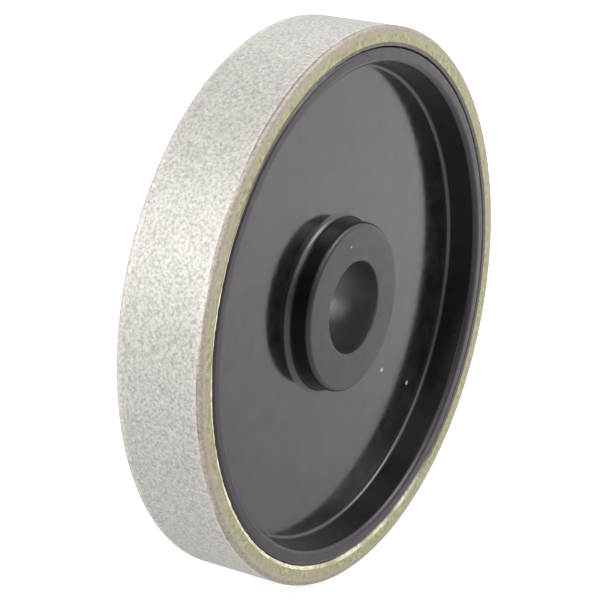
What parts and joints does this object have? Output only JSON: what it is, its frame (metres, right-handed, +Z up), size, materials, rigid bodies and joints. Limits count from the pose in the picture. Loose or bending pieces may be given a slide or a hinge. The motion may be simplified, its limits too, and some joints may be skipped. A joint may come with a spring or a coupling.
{
  "type": "diamond grinding wheel",
  "caption": "Straight lapidary grinding wheel: a dished black plastic hub with a round bore, ringed by a bonded laminate band plated with diamond grit.",
  "frame": {"origin": "centre of the wheel, on the bore axis and at mid-width", "axes": "+Y along the bore axis from the front face to the rear face, +Z up, the wheel standing on its rim"},
  "size_m": [0.1524, 0.0254, 0.1524],
  "materials": {
    "hub_plastic": "moulded black plastic, satin gloss",
    "adhesive": "cured pale epoxy, uneven bead",
    "laminate": "olive glass-epoxy laminate, cut edge",
    "diamond_plate": "matt nickel plate full of fine diamond grit"
  },
  "bodies": {
    "root": {"hub": "hub_plastic", "bond_line": "adhesive", "backing_ring": "laminate", "diamond_layer": "diamond_plate"}
  },
  "joints": []
}
